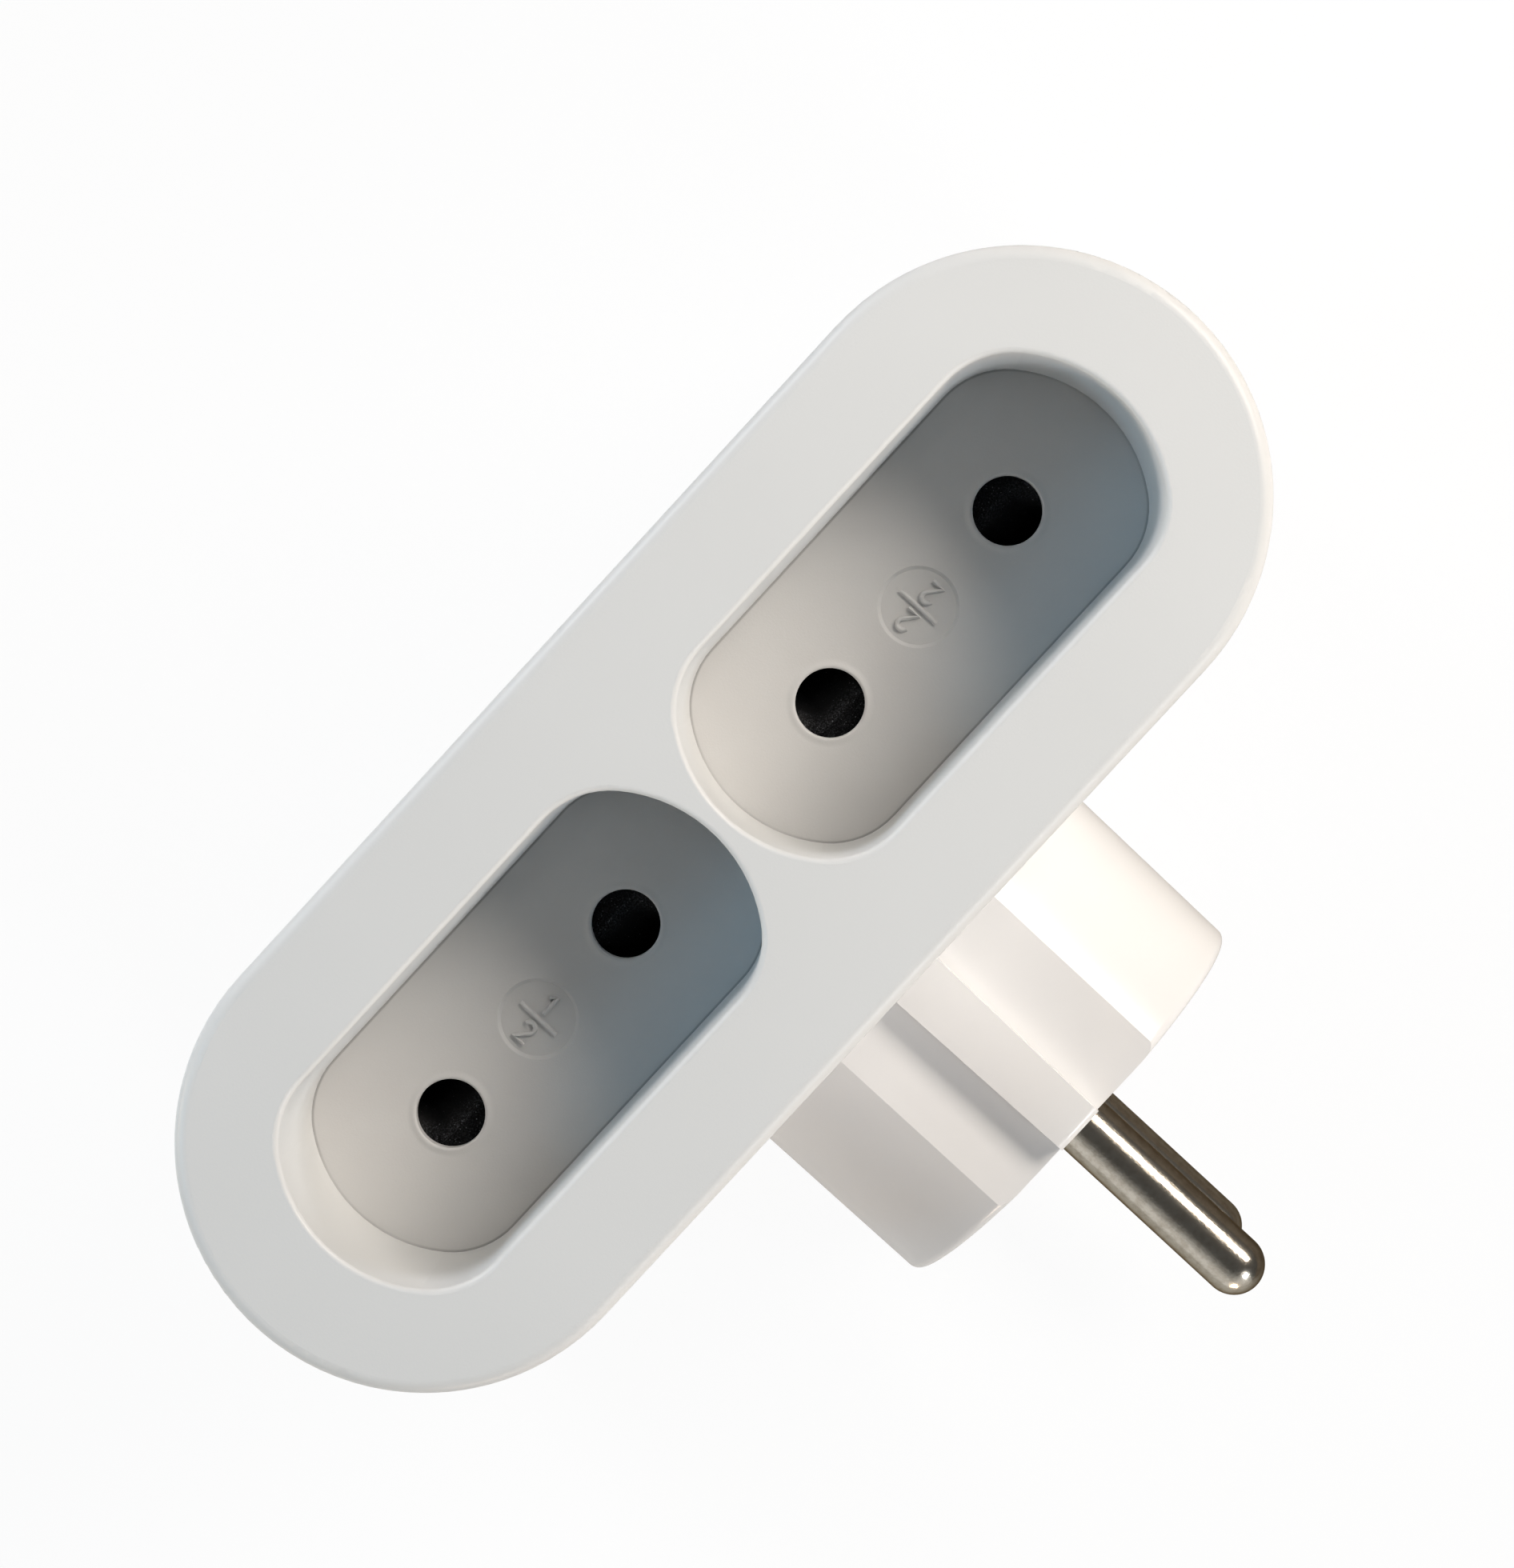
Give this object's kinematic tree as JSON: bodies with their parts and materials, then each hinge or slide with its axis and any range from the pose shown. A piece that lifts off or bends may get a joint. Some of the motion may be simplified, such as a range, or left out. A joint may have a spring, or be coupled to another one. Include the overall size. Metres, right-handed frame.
{
  "type": "multi socket adapter",
  "caption": "Round-ended mains socket adapter with recessed sockets, sprung safety shutters and a round plug base with solid pins on its long side.",
  "frame": {"origin": "middle of the flat back face", "axes": "+X along the row of sockets, -Y the way the plug pins point, +Z out of the sockets"},
  "size_m": [0.096, 0.072, 0.06],
  "materials": {
    "cover_white": "satin",
    "housing_white": "satin",
    "plate_white": "fine matt",
    "plug_white": "gloss",
    "shutter_black": "satin",
    "carrier_black": "matt",
    "pin_nickel": "nickel plated",
    "contact_brass": "bright",
    "spring_steel": "drawn wire",
    "screw_steel": "zinc plated"
  },
  "bodies": {
    "housing": {"front_cover": "cover_white", "rear_housing": "housing_white", "housing_screws": "screw_steel", "socket_plate_left": "plate_white", "socket_plate_right": "plate_white", "shutter_washers": "screw_steel", "shutter_spring_left": "spring_steel", "shutter_spring_right": "spring_steel", "contact_carrier_left": "carrier_black", "contact_carrier_right": "carrier_black", "contact_clip_left_outer": "contact_brass", "contact_clip_left_inner": "contact_brass", "contact_clip_right_outer": "contact_brass", "contact_clip_right_inner": "contact_brass", "contact_rivets": "contact_brass", "live_bus_bar": "contact_brass", "neutral_bus_bar": "contact_brass", "plug_body": "plug_white", "plug_pin_upper": "pin_nickel", "plug_pin_lower": "pin_nickel"},
    "shutter_left": {"shutter_left": "shutter_black"},
    "shutter_right": {"shutter_right": "shutter_black"}
  },
  "joints": [
    {"name": "shutter_left_turn", "type": "hinge", "parent": "housing", "child": "shutter_left", "pos_m": [-0.0205, 0, 0.0424], "axis": [0, 0, 1], "range_deg": [0, 38], "stiffness_Nm_per_rad": 0.002, "springref_deg": -20.05, "deforming": ["shutter_spring_left"]},
    {"name": "shutter_right_turn", "type": "hinge", "parent": "housing", "child": "shutter_right", "pos_m": [0.0205, 0, 0.0424], "axis": [0, 0, 1], "range_deg": [0, 38], "stiffness_Nm_per_rad": 0.002, "springref_deg": -20.05, "deforming": ["shutter_spring_right"]}
  ]
}
